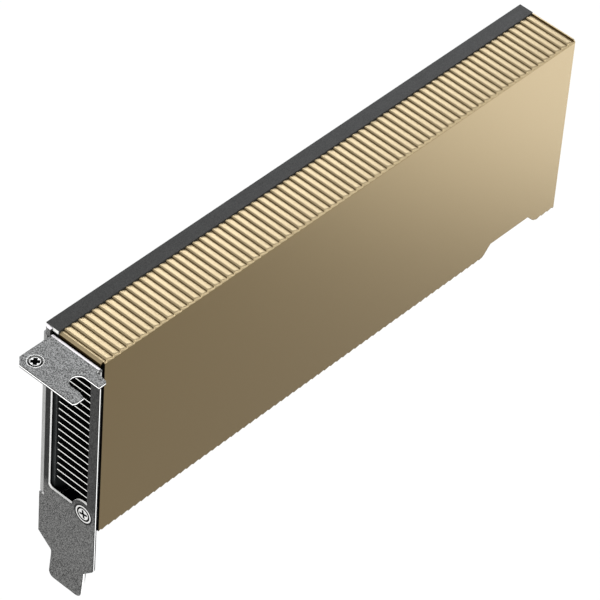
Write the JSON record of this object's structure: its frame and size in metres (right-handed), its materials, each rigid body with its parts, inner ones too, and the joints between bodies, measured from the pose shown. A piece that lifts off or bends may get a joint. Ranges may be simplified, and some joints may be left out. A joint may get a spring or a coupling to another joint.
{
  "type": "passive accelerator card",
  "caption": "Half-height passive accelerator card: ribbed metal cover over a fin stack, folded slot bracket, rear plate and keyed edge connector.",
  "frame": {"origin": "centre of the key notch in the edge connector: board mid-plane, contact edge", "axes": "+Z from the contact edge to the top of the card, +X along the card away from the bracket, +Y from the component side to the solder side"},
  "size_m": [0.1821, 0.0231, 0.082],
  "materials": {
    "bracket_steel": "plated, satin",
    "screw_steel": "plated, semi-gloss",
    "cover_metal": "warm gold anodised, fine satin",
    "fin_metal": "plain, satin",
    "base_metal": "machined",
    "copper": "machined copper",
    "board_laminate": "black solder mask over glass-epoxy",
    "contact_gold": "hard gold plate, polished",
    "substrate_laminate": "green resist",
    "stiffener_metal": "plated",
    "silicon": "polished",
    "paste": "dull",
    "chip_black": "moulded",
    "soft_pad": "soft, dull",
    "ferrite": "pressed powder",
    "capacitor_resin": "moulded",
    "ceramic": "fired",
    "crystal_can": "plated",
    "backplate_black": "black, fine matt",
    "dark_screw": "black oxide"
  },
  "bodies": {
    "root": {"io_bracket": "bracket_steel", "bracket_face_screw": "screw_steel", "bracket_tab_screw": "screw_steel", "flange_standoffs": "screw_steel", "heatsink_cover": "cover_metal", "cover_screws": "dark_screw", "fin_stack": "fin_metal", "heatsink_base": "base_metal", "cold_plate": "copper", "circuit_board": "board_laminate", "front_contacts": "contact_gold", "back_contacts": "contact_gold", "package_substrate": "substrate_laminate", "package_stiffener": "stiffener_metal", "package_die": "silicon", "die_paste": "paste", "memory_chips_front": "chip_black", "memory_pads_front": "soft_pad", "memory_chips_back": "chip_black", "memory_pads_back": "soft_pad", "power_inductors": "ferrite", "inductor_pads": "soft_pad", "power_stages": "chip_black", "power_stage_pads": "soft_pad", "bulk_capacitors": "capacitor_resin", "ceramic_capacitors_front": "ceramic", "ceramic_capacitors_back": "ceramic", "voltage_controllers": "chip_black", "firmware_chip": "chip_black", "clock_crystal": "crystal_can", "backplate": "backplate_black", "package_screws": "dark_screw"}
  },
  "joints": []
}
